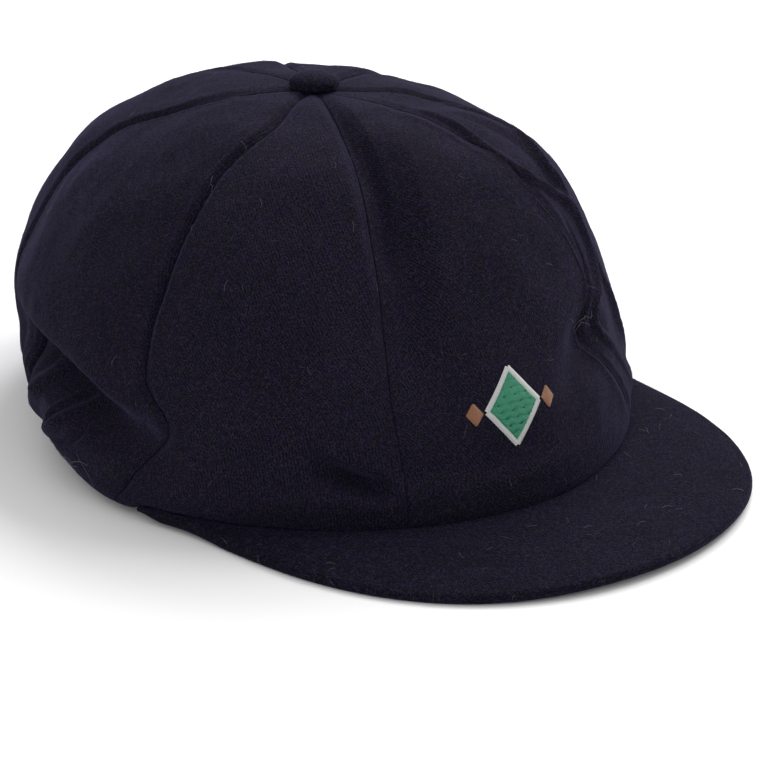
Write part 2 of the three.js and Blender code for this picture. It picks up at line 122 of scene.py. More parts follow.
# Folds in the cloth: width share, how far it sags, then points of angle, level and height share.
folds = {
    "lip over the tuck on the right": (1.1, 1.1, (
        (136, 0.3, 0), (124, 0.3, 0.3), (108, 0.29, 0.42), (94, 0.27, 0.42), (84, 0.235, 0.36),
        (75, 0.205, 0.26), (69.5, 0.16, 0.2), (66, 0.09, 0.1), (64, 0.04, 0))),
    "tuck below the lip": (0.95, 0, (
        (134, 0.19, 0), (122, 0.19, -0.75), (108, 0.185, -1.35), (96, 0.17, -1.3),
        (86, 0.15, -0.95), (79, 0.13, -0.6), (74, 0.1, -0.25), (70, 0.06, 0))),
    "ridge that drops from the lip": (0.5, 0, (
        (107, 0.22, 0), (109, 0.18, 0.45), (112, 0.12, 0.45), (119, 0.03, 0.2))),
    "gather beside it": (0.24, 0, (
        (94, 0.18, 0), (97, 0.15, 0.34), (101.5, 0.1, 0.46), (108.5, 0.045, 0.2))),
    "small gather between them": (0.17, 0, (
        (102, 0.145, 0), (103, 0.12, 0.24), (105.5, 0.085, 0.26), (108, 0.055, 0))),
    "crease below them": (0.2, 0, (
        (91, 0.14, 0), (95, 0.105, -0.22), (99, 0.07, -0.3), (104, 0.045, -0.22), (108, 0.025, 0))),
    "gather above the corner of the hem": (0.22, 0, (
        (92, 0.09, 0), (97, 0.075, 0.1), (102, 0.045, 0.16), (106, 0.025, 0.1))),
    "crease at the foot of the front right seam": (0.4, 0, (
        (47, 0.1, 0), (44.5, 0.085, -0.4), (41.5, 0.072, -0.75),
        (39, 0.06, -0.9), (36, 0.05, -0.75), (33, 0.035, 0))),
    "soft roll above the joint with the peak": (0.6, 0, (
        (78, 0.035, 0), (64, 0.035, 0.16), (48, 0.035, 0.25), (30, 0.034, 0.25), (12, 0.034, 0.2),
        (-8, 0.034, 0.12), (-24, 0.034, 0))),
    "step beside the front right seam": (0.36, 0, (
        (37, 0.94, 0), (33, 0.85, -0.2), (31, 0.75, -0.3),
        (29.5, 0.65, -0.3), (28.5, 0.5, -0.25), (28.5, 0.35, 0))),
    "valley beside the front right seam": (0.95, 0, (
        (31, 0.84, 0), (29, 0.72, -0.26), (27, 0.55, -0.5), (26, 0.435, -0.7),
        (25.5, 0.34, -0.7), (26.5, 0.25, -0.5), (29, 0.18, -0.15), (31, 0.12, 0))),
    "dent beside the badge": (0.9, 0, (
        (-2, 0.14, 0), (-9, 0.14, -0.2), (-15, 0.16, -0.3), (-21, 0.17, -0.2))),
    "roll on the front left": (0.5, 0, (
        (334, 0.75, 0), (332, 0.66, 0.15), (329, 0.56, 0.22), (331, 0.41, 0.16), (329, 0.325, 0.04),
        (325, 0.25, -0.1), (325, 0.18, -0.12), (323, 0.13, -0.08), (321, 0.08, 0))),
    "edge of the front panel at the front left seam": (0.11, 0, (
        (355, 0.66, 0), (349.2, 0.52, 0.05), (344.6, 0.4, 0.06), (341, 0.32, 0.07),
        (339.8, 0.28, 0.08), (339.6, 0.25, 0.08), (342.4, 0.2, 0.08), (344.4, 0.16, 0.08),
        (340, 0.12, 0.06), (334.6, 0.08, 0))),
    "crevice in the front left seam": (0.2, 0, (
        (338, 0.36, 0), (335.2, 0.3, -0.16), (335.2, 0.262, -0.26), (338, 0.228, -0.28),
        (341.5, 0.2, -0.28), (343.5, 0.175, -0.22), (341, 0.15, -0.1), (337, 0.12, 0))),
    "sharp ridge beside the front left seam": (0.2, 0, (
        (350, 0.79, 0), (349.5, 0.7, 0.12), (349.5, 0.6, 0.17), (346, 0.503, 0.2),
        (334, 0.4, 0.22), (329.5, 0.335, 0.24), (328.5, 0.28, 0.24), (332.5, 0.233, 0.24),
        (337.5, 0.195, 0.22), (336.5, 0.155, 0.17), (328, 0.1, 0.12), (320, 0.033, 0.04))),
    "sharp ridge on the roll": (0.17, 0, (
        (322, 0.8, 0), (324, 0.72, 0.12), (326.5, 0.61, 0.18), (332, 0.47, 0.18), (328, 0.378, 0.1),
        (324, 0.268, 0.12), (323, 0.2, 0.14), (320.5, 0.135, 0.12), (315, 0.07, 0.04))),
    "bulge over the front left of the peak": (0.6, 0, (
        (328, 0.07, 0), (323, 0.05, 0.1), (315, 0.04, 0.18), (306, 0.035, 0.14), (297, 0.02, 0))),
    "tuck on the left": (1, 0, (
        (226, 0.2, 0), (240, 0.19, -0.6), (256, 0.17, -0.8), (270, 0.14, -0.6), (284, 0.1, 0))),
    "lip over the tuck on the left": (1.1, 1.1, (
        (226, 0.3, 0), (240, 0.3, 0.2), (256, 0.28, 0.3), (272, 0.25, 0.2), (286, 0.2, 0))),
}

# The cloth rolls over at its sewn edges, stands up over the turnings and is never quite even.
hem_roll = 1.85 * mm
hem_rise = 6 * mm
turning_height = 0.2 * mm
turning_at = 3.2 * mm
turning_half_width = 2.4 * mm
pucker = 0.08 * mm
pucker_length = 9 * mm
narrow_width, narrow_tip = 30 * mm, 14 * mm
deepest_roll = 0.94 * cloth_wall
# Longest and shortest length, depth and number of the slow and the fine waves in the cloth.
cloth_wave_kinds = ((46 * mm, 20 * mm, 0.14 * mm, 14), (11 * mm, 6 * mm, 0.02 * mm, 16))


def curve_through(positions, heights, at):
    positions, heights = np.asarray(positions, float), np.asarray(heights, float)
    last = len(positions) - 1
    before, after = np.maximum(np.arange(last + 1) - 1, 0), np.minimum(np.arange(last + 1) + 1, last)
    slopes = (heights[after] - heights[before]) / (positions[after] - positions[before])
    i = np.clip(np.searchsorted(positions, at) - 1, 0, last - 1)
    span = positions[i + 1] - positions[i]
    t = np.clip((at - positions[i]) / span, 0, 1)
    start = (1 + 2 * t) * (1 - t) ** 2 * heights[i] + t * (1 - t) ** 2 * span * slopes[i]
    return start + t ** 2 * (3 - 2 * t) * heights[i + 1] + t ** 2 * (t - 1) * span * slopes[i + 1]


def smooth(value, low, high):
    t = np.clip((value - low) / (high - low), 0, 1)
    return t * t * (3 - 2 * t)


def bump(distance):
    return np.maximum(0, 1 - distance ** 2) ** 2


def unit(vectors):
    return vectors / np.linalg.norm(vectors, axis=-1, keepdims=True)


def bezier(t, *values):
    weights = ((1 - t) ** 3, 3 * t * (1 - t) ** 2, 3 * t ** 2 * (1 - t), t ** 3)
    return sum(w * v for w, v in zip(weights, values))


button_low, button_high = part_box("button")
crown_place = np.array([
    (button_low.x + button_high.x) / 2 - apex_left, (button_low.y + button_high.y) / 2 - apex_back, 0])
apex = np.array([apex_left, apex_back, joint_height + crown_height])


def upward(name, level):
    """How far from the middle and how high one of the four upward curves is at a level."""
    band, lean, pull, shoulder, dome = upward_curves[name]
    turn = math.radians(lean)
    pulled = pull * crown_height
    reach = bezier(level, band, band + pulled * math.cos(turn), shoulder * band, 0)
    rise = bezier(level, 0, pulled * math.sin(turn), (1 + dome) * crown_height, crown_height)
    return reach, rise


def smooth_crown(angle, level):
    """Points on the outside of the crown before seams and folds, closing in on the hole at the top."""
    angle, level = np.broadcast_arrays(np.asarray(angle, float), np.asarray(level, float))
    low = np.minimum(level, closing_level)
    turn = np.radians(angle)
    side, ahead = np.sin(turn), np.cos(turn)
    front, back, right, left = (upward(name, low) for name in ("front", "back", "right", "left"))
    reach_long, rise_long = (np.where(ahead > 0, f, b) for f, b in zip(front, back))
    reach_side, rise_side = (np.where(side > 0, r, s) for r, s in zip(right, left))
    exponent = band_exponent * (1 - low) + low
    around = np.mod(angle, 360)
    hem = joint_height * curve_through(hem_angles, hem_heights, np.minimum(around, 360 - around))
    rise = ahead ** 2 * rise_long + side ** 2 * rise_side
    points = np.stack([
        apex_left * low - np.sign(side) * np.abs(side) ** exponent * reach_side,
        apex_back * low - np.sign(ahead) * np.abs(ahead) ** exponent * reach_long,
        joint_height + (hem - joint_height) * (1 - low) ** 3 + rise,
    ], axis=-1)
    outward = np.concatenate([points[..., :2] - apex[:2], np.zeros(points.shape[:-1] + (1,))], axis=-1)
    closing = np.clip((level - closing_level) / (1 - closing_level), 0, 1)[..., None]
    return points * (1 - closing) + (apex + hole_radius * unit(outward)) * closing


def crown_outward(angle, level):
    around = smooth_crown(angle + 1, level) - smooth_crown(angle - 1, level)
    above, below = np.minimum(level + 0.01, 1), np.maximum(level - 0.01, 0)
    climb = smooth_crown(angle, above) - smooth_crown(angle, below)
    outward = unit(np.cross(climb, around))
    outward[..., 2] *= smooth(level, 0, 0.08)
    return unit(outward)


fold_paths = []
for width, droop, points in folds.values():
    columns = np.array(points, float).T
    steps = np.linspace(0, len(points) - 1, 3 * (len(points) - 1) + 1)
    angle, level, height = (curve_through(np.arange(len(points)), column, steps) for column in columns)
    path = smooth_crown(angle, level)
    fold_paths.append((path, height * fold_height, width * fold_half_width, droop))


def fold_forms(points):
    """How far the folds push the cloth out at these points, and how far they let it sag."""
    relief = np.zeros(points.shape[:-1])
    sag = np.zeros(points.shape[:-1])
    for path, heights, half_width, droop in fold_paths:
        nearest = np.full(points.shape[:-1], np.inf)
        height = np.zeros(points.shape[:-1])
        for start, end, low, high in zip(path[:-1], path[1:], heights[:-1], heights[1:]):
            along = end - start
            share = np.clip((points - start) @ along / (along @ along), 0, 1)
            distance = np.linalg.norm(points - start - share[..., None] * along, axis=-1)
            closer = distance < nearest
            nearest = np.where(closer, distance, nearest)
            height = np.where(closer, low + (high - low) * share, height)
        form = height * bump(nearest / half_width)
        relief += form
        sag += droop * form
    return relief, sag


wave_dice = np.random.default_rng(11)
cloth_waves = []
for longest, shortest, depth, count in cloth_wave_kinds:
    for _ in range(count):
        heading = unit(wave_dice.normal(size=3))
        length = wave_dice.uniform(shortest, longest)
        cloth_waves.append((heading * 2 * math.pi / length, wave_dice.uniform(0, 6.28), depth))


def unevenness(points):
    return sum(depth * np.sin(points @ wave + phase) for wave, phase, depth in cloth_waves)


def panel_grids(name, levels, shares):
    """Outer and inner points of a panel, and its flat cloth coordinates in metres."""
    first_seam, last_seam, gathers, begin, end = panels[name]
    level = levels[:, None]
    first = curve_through(seam_levels, seam_angles[first_seam], level)
    last = curve_through(seam_levels, seam_angles[last_seam], level)
    last = np.where(last < first, last + 360, last)

    def per_degree(angle):
        step = smooth_crown(angle + 0.5, level) - smooth_crown(angle - 0.5, level)
        return np.linalg.norm(step, axis=-1)

    width = per_degree((first + last) / 2) * (last - first)
    first = first + seam_gap / 2 / per_degree(first)
    last = last - seam_gap / 2 / per_degree(last)
    angle = first + (last - first) * shares[None, :]
    level = np.broadcast_to(level, angle.shape)
    share = np.broadcast_to(shares[None, :], angle.shape)
    point = smooth_crown(angle, level)
    outward = crown_outward(angle, level)

    first_form, last_form = seam_forms[first_seam], seam_forms[last_seam]
    fading = 1 - fading_share * smooth(level, *fading_levels)
    fall_share = np.where(share < 0.5, first_form.fall, last_form.fall)
    fall = panel_fall * (fall_share * np.abs(2 * share - 1) ** 4 - panel_fullness)
    fall = fall * smooth(level, 0, fall_foot_level)
    climbed = np.linalg.norm(np.diff(point[:, len(shares) // 2], axis=0), axis=1)
    height = np.concatenate([[0], np.cumsum(climbed)])[:, None]
    valleys = 0
    sewn = 0
    for form, distance, phase in (
            (first_form, share * width, 0.0), (last_form, (1 - share) * width, 2.0)):
        opening = smooth(level, 0.5 * form.full_level, form.full_level)
        depth = form.depth * (form.foot + (1 - form.foot) * opening)
        depth = depth * smooth(level, 0, seam_foot_level)
        valleys = valleys + depth * bump(distance / seam_half_width)
        beat = np.sin(height / (2.7 * pucker_length) + 1)
        ripple = np.sin(2 * math.pi * height / pucker_length + phase) * beat
        ridge = bump((distance - turning_at) / turning_half_width)
        sewn = sewn + (turning_height + pucker * ripple) * ridge
    hollow = 0
    if gathers:
        count = gathers * share
        uneven = 0.75 + 0.25 * np.sin(1.9 * count + gathers)
        started = smooth(share, begin - gather_fade, begin + gather_fade) if begin > 0 else 1
        ended = smooth(share, end - gather_fade, end + gather_fade) if end < 1 else 0
        hollow = (0.5 + 0.5 * np.cos(2 * math.pi * count)) * uneven * started * (1 - ended)
        hollow = hollow * (1 - smooth(level, *gather_levels))
    closing = 1 - np.clip((level - closing_level) / (1 - closing_level), 0, 1)
    soft = smooth(level, 0, seam_foot_level) * (1 - smooth(level, *soft_levels))
    above_foot = smooth(level, 0, fold_foot_level)
    folded, sag = fold_forms(point)
    point = point - (closing * above_foot * sag)[..., None] * (0, 0, 1)
    relief = closing * (
        above_foot * folded - fading * (seam_depth * valleys + fall) - gather_depth * hollow
        + soft * (unevenness(point) + sewn * smooth(width, 0, narrow_width)))

    nearer_roll = np.where(share < 0.5, first_form.roll, last_form.roll)
    roll_radius = nearer_roll * smooth(width, 0, narrow_tip) + 0.01 * mm
    rolled = 0
    for from_edge, reach, deep in (
            (np.minimum(share, 1 - share) * width, roll_radius, roll_radius),
            (height, hem_rise, hem_roll)):
        into = 1 - np.clip(from_edge / reach, 0, 1)
        rolled = rolled + deep * (1 - np.sqrt(1 - np.clip(into, 0, 0.995) ** 2))
    rolled = np.minimum(rolled, deepest_roll)
    outer = point + outward * (relief - rolled)[..., None] + crown_place
    inner = point + outward * (relief - cloth_wall)[..., None] + crown_place
    flat = np.stack([(share - 0.5) * width, np.broadcast_to(height, share.shape)], axis=-1)
    return outer, inner, flat


def shell_mesh(name, outer, inner, flat):
    """A closed piece of cloth between two grids of points, with its flat coordinates as a UV map."""
    rows, columns = outer.shape[:2]
    index = np.arange(rows * columns).reshape(rows, columns)
    back = index + rows * columns

    def quads(a, b, c, d):
        return np.stack([a, b, c, d], axis=-1).reshape(-1, 4)

    faces = np.concatenate([
        quads(index[:-1, :-1], index[1:, :-1], index[1:, 1:], index[:-1, 1:]),
        quads(back[:-1, :-1], back[:-1, 1:], back[1:, 1:], back[1:, :-1]),
        quads(index[:-1, 0], back[:-1, 0], back[1:, 0], index[1:, 0]),
        quads(index[:-1, -1], index[1:, -1], back[1:, -1], back[:-1, -1]),
        quads(index[0, :-1], index[0, 1:], back[0, 1:], back[0, :-1]),
        quads(index[-1, :-1], back[-1, :-1], back[-1, 1:], index[-1, 1:]),
    ])
    mesh = bpy.data.meshes.new(name)
    vertices = np.concatenate([outer.reshape(-1, 3), inner.reshape(-1, 3)])
    mesh.from_pydata(vertices.tolist(), [], faces.tolist())
    layer = mesh.uv_layers.new(name="cloth")
    both = np.concatenate([flat.reshape(-1, 2), flat.reshape(-1, 2)])
    layer.data.foreach_set("uv", both[faces.reshape(-1)].astype(np.float32).ravel())
    mesh.polygons.foreach_set("use_smooth", np.ones(len(faces), bool))
    mesh.set_sharp_from_angle(angle=math.radians(62))
    mesh.update()
    return mesh


def add_node(tree, kind, **settings):
    made = tree.nodes.new(kind)
    for name, value in settings.items():
        setattr(made, name, value)
    return made


def feed(tree, node, **sockets):
    """Sets or links inputs, named with underscores for spaces, or numbered as n0, n1 and so on."""
    for name, value in sockets.items():
        numbered = name[0] == "n" and name[1:].isdigit()
        socket = node.inputs[int(name[1:]) if numbered else name.replace("_", " ")]
        if isinstance(value, bpy.types.NodeSocket):
            tree.links.new(value, socket)
        else:
            socket.default_value = value
    return node


def new_material(name, **settings):
    """A material with its node tree and its shader, some of whose inputs are set."""
    material = bpy.data.materials.new(name)
    material.use_nodes = True
    tree = material.node_tree
    return material, tree, feed(tree, tree.nodes["Principled BSDF"], **settings)


def mixed(tree, share, first, second):
    """A colour between two others, each of them three numbers or a socket."""
    mix = add_node(tree, "ShaderNodeMix", data_type="RGBA")
    tree.links.new(share, mix.inputs[0])
    for socket, colour in ((mix.inputs[6], first), (mix.inputs[7], second)):
        if isinstance(colour, bpy.types.NodeSocket):
            tree.links.new(colour, socket)
        else:
            socket.default_value = (*colour, 1)
    return mix.outputs[2]


# Noise scales are in cycles per metre. The strands of felted fibre lie three ways, each with its
# turn and its stretched scale, and bend a little. The ribs of the twill show faintly through them.
strand_ways = (
    ((0.3, 0.2, 0.5), (2700, 2700, 760)), ((1.2, 0.9, 0.1), (2900, 820, 2900)),
    ((0.5, 1.4, 2.1), (800, 2700, 2700)))
strand_threshold = (0.56, 0.72)
strand_bend_scale, strand_bend = 420, 1.4 * mm
clump_scale, patch_scale, tinge_scale = 2300, 34, 320
rib_slant, rib_scale = 0.45, 380.0
strand_light, clump_light = 0.85, 0.24
wool_sheen = {"Sheen_Weight": 0.17, "Sheen_Roughness": 0.17, "Sheen_Tint": (0.4, 0.34, 0.86, 1)}


def milled_wool(name, dark, fibre, twill, nap_depth):
    """Wool cloth: a dark ground, paler fibres lying every way, and a faint twill below them.

    Both colours come in pairs, which change places slowly across the cloth."""
    material, tree, shader = new_material(name, Roughness=0.92, Specular_IOR_Level=0.05, **wool_sheen)
    place = add_node(tree, "ShaderNodeTexCoord").outputs["Object"]

    def noise(vector, scale, detail, roughness=0.5):
        made = add_node(tree, "ShaderNodeTexNoise")
        return feed(tree, made, Vector=vector, Scale=scale, Detail=detail, Roughness=roughness)

    def between(value, low, high, to_low=0.0, to_high=1.0):
        made = add_node(tree, "ShaderNodeMapRange", interpolation_type="SMOOTHSTEP")
        feed(tree, made, Value=value, From_Min=low, From_Max=high, To_Min=to_low, To_Max=to_high)
        return made.outputs[0]

    def math_node(operation, a, b):
        return feed(tree, add_node(tree, "ShaderNodeMath", operation=operation), n0=a, n1=b).outputs[0]

    bend = noise(place, strand_bend_scale, 2).outputs["Color"]
    scaled = add_node(tree, "ShaderNodeVectorMath", operation="SCALE")
    feed(tree, scaled, n0=bend, Scale=strand_bend)
    added = add_node(tree, "ShaderNodeVectorMath", operation="ADD")
    bent = feed(tree, added, n0=place, n1=scaled.outputs[0]).outputs[0]
    lying = 0.0
    for turn, stretch in strand_ways:
        mapping = add_node(tree, "ShaderNodeMapping")
        feed(tree, mapping, Vector=bent, Rotation=turn, Scale=stretch)
        strand = between(noise(mapping.outputs[0], 1.0, 1.0).outputs[0], *strand_threshold)
        lying = strand if isinstance(lying, float) else math_node("MAXIMUM", lying, strand)
    clumps = between(noise(place, clump_scale, 2, 0.6).outputs[0], 0.34, 0.68)
    patches = between(noise(place, patch_scale, 2).outputs[0], 0.3, 0.7, 0.88, 1.12)
    flat = add_node(tree, "ShaderNodeUVMap", uv_map="cloth").outputs[0]
    slant = feed(tree, add_node(tree, "ShaderNodeMapping"), Vector=flat, Rotation=(0, 0, rib_slant))
    wave = add_node(tree, "ShaderNodeTexWave", wave_type="BANDS", bands_direction="X")
    feed(tree, wave, Vector=slant.outputs[0], Scale=rib_scale, Distortion=2.4, Detail=2.0,
         Detail_Scale=1.5)
    ribs = math_node("MULTIPLY", wave.outputs["Fac"], twill)
    light = math_node("ADD", math_node("MULTIPLY", lying, strand_light),
                      math_node("MULTIPLY", clumps, clump_light))
    light = math_node("MULTIPLY", math_node("ADD", light, ribs), patches)
    tinge = between(noise(place, tinge_scale, 3).outputs[0], 0.36, 0.64)
    colour = mixed(tree, light, mixed(tree, tinge, *dark), mixed(tree, tinge, *fibre))
    surface = math_node("ADD", math_node("MULTIPLY", lying, 0.6), math_node("ADD", clumps, ribs))
    relief = add_node(tree, "ShaderNodeBump")
    feed(tree, relief, Height=surface, Distance=nap_depth, Strength=0.7)
    feed(tree, shader, Base_Color=colour, Normal=relief.outputs[0])
    return material


def add_piece(name, mesh, material):
    piece = bpy.data.objects.new(name, mesh)
    bpy.context.scene.collection.objects.link(piece)
    if material is not None:
        mesh.materials.clear()
        mesh.materials.append(material)
    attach(piece, "root")
    return piece


wool_dark = ((0.0022, 0.0017, 0.0046), (0.0018, 0.0018, 0.0033))
wool_fibre = ((0.0223, 0.0176, 0.0402), (0.0221, 0.0189, 0.0325))
nap = 0.14 * mm
crown_cloth = milled_wool("crown_wool", wool_dark, wool_fibre, 0.27, nap)
near_hem = np.array([0, 0.0003, 0.0008, 0.0017, 0.003, 0.0046, 0.0066, 0.009])
crown_levels = np.concatenate([near_hem, 0.012 + 0.988 * np.linspace(0, 1, 158) ** 1.2])
even = np.linspace(0, 1, 91)
crown_shares = even - 0.92 * np.sin(2 * math.pi * even) / (2 * math.pi)
even = np.linspace(0, 1, 145)
fine_shares = even - 0.8 * np.sin(2 * math.pi * even) / (2 * math.pi)
cloth_faces = []
front_panel = None
for name in panels:
    shares = fine_shares if name in ("panel_right", "panel_front_left") else crown_shares
    outer, inner, flat = panel_grids(name, crown_levels, shares)
    mesh = shell_mesh(name + "_cloth", outer, inner, flat)
    piece = add_piece(name + "_cloth", mesh, crown_cloth)
    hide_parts(name)
    cloth_faces.append(outer)
    if name == "panel_front":
        front_panel = piece

# Loose fibres stand a little out of the milled face, paler than the cloth. They are part of the cloth
# itself, lifted by wear and brushing.


def open_tree(name, inputs, output):
    """A new Geometry Nodes tree, the identifiers of its inputs, and the sockets that they lead to."""
    tree = bpy.data.node_groups.new(name, "GeometryNodeTree")
    sockets = {}
    for label, kind in inputs.items():
        made = tree.interface.new_socket(label, in_out="INPUT", socket_type="NodeSocket" + kind)
        sockets[label] = made.identifier
    tree.interface.new_socket(output, in_out="OUTPUT", socket_type="NodeSocketGeometry")
    return tree, sockets, add_node(tree, "NodeGroupInput").outputs


def close_tree(tree, geometry, material):
    """Gives the geometry its material and leads it out of the tree."""
    real = feed(tree, add_node(tree, "GeometryNodeRealizeInstances"), Geometry=geometry)
    dressed = feed(tree, add_node(tree, "GeometryNodeSetMaterial"),
                   Geometry=real.outputs[0], Material=material)
    tree.links.new(dressed.outputs[0], add_node(tree, "NodeGroupOutput").inputs[0])


def fibre_tree():
    tree, sockets, given = open_tree("loose_fibres", {
        "Cloth": "Geometry", "Fibres per square metre": "Float", "Length": "Float",
        "Thickness": "Float", "Stand": "Float", "Seed": "Int", "Wool": "Material"}, "Fibres")
    spread = feed(tree, add_node(tree, "GeometryNodeDistributePointsOnFaces"), Mesh=given["Cloth"],
                  Density=given["Fibres per square metre"], Seed=given["Seed"])
    strand = feed(tree, add_node(tree, "GeometryNodeCurveQuadraticBezier"), Resolution=2,
                  Start=(-0.5, 0, 0), Middle=(0, 0.22, 0.2), End=(0.5, 0.05, 0.04))
    radius = feed(tree, add_node(tree, "ShaderNodeMath", operation="DIVIDE"),
                  n0=given["Thickness"], n1=given["Length"]).outputs[0]
    ring = feed(tree, add_node(tree, "GeometryNodeCurvePrimitiveCircle"), Resolution=3, Radius=radius)
    hair = feed(tree, add_node(tree, "GeometryNodeCurveToMesh"), Curve=strand.outputs[0],
                Profile_Curve=ring.outputs[0]).outputs[0]
    tilt = add_node(tree, "FunctionNodeRandomValue", data_type="FLOAT_VECTOR")
    low = feed(tree, add_node(tree, "ShaderNodeCombineXYZ"), X=-0.05, Y=-0.12, Z=0.0).outputs[0]
    high = feed(tree, add_node(tree, "ShaderNodeCombineXYZ"), X=0.05, Z=6.2832).outputs[0]
    tree.links.new(given["Stand"], high.node.inputs["Y"])
    tree.links.new(low, tilt.inputs[0])
    tree.links.new(high, tilt.inputs[1])
    tree.links.new(given["Seed"], tilt.inputs["Seed"])
    turned = feed(tree, add_node(tree, "FunctionNodeRotateRotation", rotation_space="LOCAL"),
                  Rotation=spread.outputs["Rotation"], Rotate_By=tilt.outputs[0]).outputs[0]
    size = add_node(tree, "FunctionNodeRandomValue", data_type="FLOAT")
    size.inputs[2].default_value, size.inputs[3].default_value = 0.45, 1.35
    tree.links.new(given["Seed"], size.inputs["Seed"])
    length = feed(tree, add_node(tree, "ShaderNodeMath", operation="MULTIPLY"),
                  n0=size.outputs[1], n1=given["Length"]).outputs[0]
    placed = feed(tree, add_node(tree, "GeometryNodeInstanceOnPoints"), Points=spread.outputs["Points"],
                  Instance=hair, Rotation=turned, Scale=length)
    close_tree(tree, placed.outputs[0], given["Wool"])
    return tree, sockets


def run_tree(name, source_mesh, tree, values):
    """Runs a Geometry Nodes tree on a mesh and returns the result as a plain mesh."""
    source = bpy.data.objects.new(name + "_source", source_mesh)
    bpy.context.scene.collection.objects.link(source)
    modifier = source.modifiers.new(name, "NODES")
    modifier.node_group = tree
    for identifier, value in values.items():
        modifier[identifier] = value
    bpy.context.view_layer.update()
    evaluated = source.evaluated_get(bpy.context.evaluated_depsgraph_get())
    mesh = bpy.data.meshes.new_from_object(evaluated)
    mesh.name = name
    source.modifiers.remove(modifier)
    bpy.data.objects.remove(source)
    bpy.data.meshes.remove(source_mesh)
    return mesh


def face_mesh(name, grids):
    """Open faces over grids of points, for fibres to grow on."""
    vertices, faces, start = [], [], 0
    for grid in grids:
        rows, columns = grid.shape[:2]
        index = np.arange(rows * columns).reshape(rows, columns) + start
        corners = (index[:-1, :-1], index[1:, :-1], index[1:, 1:], index[:-1, 1:])
        faces.append(np.stack(corners, axis=-1).reshape(-1, 4))
        vertices.append(grid.reshape(-1, 3))
        start += rows * columns
    mesh = bpy.data.meshes.new(name)
    mesh.from_pydata(np.concatenate(vertices).tolist(), [], np.concatenate(faces).tolist())
    mesh.update()
    return mesh


fibre_wool, fibre_nodes, fibre_shader = new_material(
    "loose_wool_fibres", Roughness=0.7, Specular_IOR_Level=0.2)
fibre_place = add_node(fibre_nodes, "ShaderNodeTexCoord").outputs["Object"]
fibre_tone = add_node(fibre_nodes, "ShaderNodeTexNoise")
feed(fibre_nodes, fibre_tone, Vector=fibre_place, Scale=650.0, Detail=1.0)
feed(fibre_nodes, fibre_shader, Base_Color=mixed(
    fibre_nodes, fibre_tone.outputs[0], (0.003, 0.0027, 0.0052), (0.085, 0.073, 0.125)))
fibre_maker, fibre_inputs = fibre_tree()


def grow(name, grids, seed, density, length, thickness, stand, wool):
    """Strands on a face, so many to the square metre, and how steeply the steepest may stand."""
    return run_tree(name, face_mesh(name + "_face", grids), fibre_maker, {
        fibre_inputs["Fibres per square metre"]: density, fibre_inputs["Length"]: length,
        fibre_inputs["Thickness"]: thickness, fibre_inputs["Stand"]: stand,
        fibre_inputs["Seed"]: seed, fibre_inputs["Wool"]: wool})


fibre_thickness = 0.022 * mm
crown_fibres = grow(
    "crown_fibres", cloth_faces, 5, 150000.0, 1.7 * mm, fibre_thickness, 0.16, fibre_wool)
add_piece("crown_fibres", crown_fibres, None)

# Lint has settled on the cloth, as on any worn wool cap: short pale scraps of fibre that lie flat,
# more of them on the peak than on the crown.
lint = new_material("lint", Base_Color=(0.11, 0.105, 0.12, 1), Roughness=0.7)[0]
lint_length, lint_thickness, lint_stand = 2.6 * mm, 0.036 * mm, 0.1
crown_lint = grow(
    "crown_lint", cloth_faces, 21, 1300.0, lint_length, lint_thickness, lint_stand, lint)
add_piece("crown_lint", crown_lint, None)

# The peak is a stiff board covered in the same wool on both sides, with its outer edge turned over
# and its inner edge sewn up under the crown.
peak_reach = 44 * mm
peak_thickness = 3 * mm
peak_seam_thickness = 3.3 * mm
peak_end_thickness = 1.6 * mm
peak_edge_round = 1.45 * mm
peak_arch = 1.5 * mm
peak_end, peak_roundness = 80, 3.04
peak_taper_right, peak_taper_left = 3.3, 4.2
peak_top = joint_height - 0.3 * mm
peak_thin_share, peak_round_share = 0.93, 0.42
peak_lip = 0.28 * mm

# The peak reaches in under the whole wall of the crown, so its inner edge lies below the hem.
peak_angles = np.linspace(-peak_end, peak_end, 241)[:, None]
rim = smooth_crown(peak_angles, np.zeros_like(peak_angles))
heading = unit(rim * (1, 1, 0))
peak_taper = np.where(peak_angles < 0, peak_taper_left, peak_taper_right)
depth = peak_reach * (1 - (np.abs(peak_angles) / peak_end) ** peak_roundness) ** peak_taper
thin = smooth(np.abs(peak_angles), peak_thin_share * peak_end, peak_end)
board = peak_seam_thickness - thin * (peak_seam_thickness - peak_end_thickness)
edge_round = np.minimum(peak_edge_round, peak_round_share * np.minimum(cloth_wall + depth, board))
turns = np.radians(np.array([12, 24, 36, 48, 60, 72, 84]))
across = np.linspace(0, 1, 70)
flat_part = cloth_wall + depth - edge_round
out = np.concatenate([across * flat_part, flat_part + edge_round * np.sin(turns)], axis=1)
rounding = np.concatenate([0 * across * flat_part, edge_round * (1 - np.cos(turns))], axis=1)
spot = rim + heading * (out - cloth_wall)[..., None]
from_crown = np.clip((out - cloth_wall) / np.maximum(depth, 6 * mm), 0, 1)
beside = smooth(np.abs(spot[..., 0]), 0.22 * band_side, 0.72 * band_side)
low = peak_top - board - peak_arch * beside * from_crown
high = peak_top + (low + np.minimum(peak_thickness, board) - peak_top) * from_crown
high = high + peak_lip * (1 - smooth(out, 0.3 * mm, 0.9 * mm))
shallow = smooth(out, 4 * mm, 20 * mm) * 0.35
high = high + shallow * (unevenness(spot) - np.abs(unevenness(spot))) * 0.5
peak_upper = np.concatenate([spot[..., :2], (high - rounding)[..., None]], axis=-1) + crown_place
peak_lower = np.concatenate([spot[..., :2], (low + rounding)[..., None]], axis=-1) + crown_place
peak_flat = np.stack([spot[..., 0], spot[..., 1]], axis=-1)
# The peak's wool is the crown's, with its pale fibres painted about a seventh darker: painted shade
# over the whole peak, not a different cloth.
peak_fibre = ((0.0192, 0.0153, 0.0364), (0.0185, 0.0164, 0.0287))
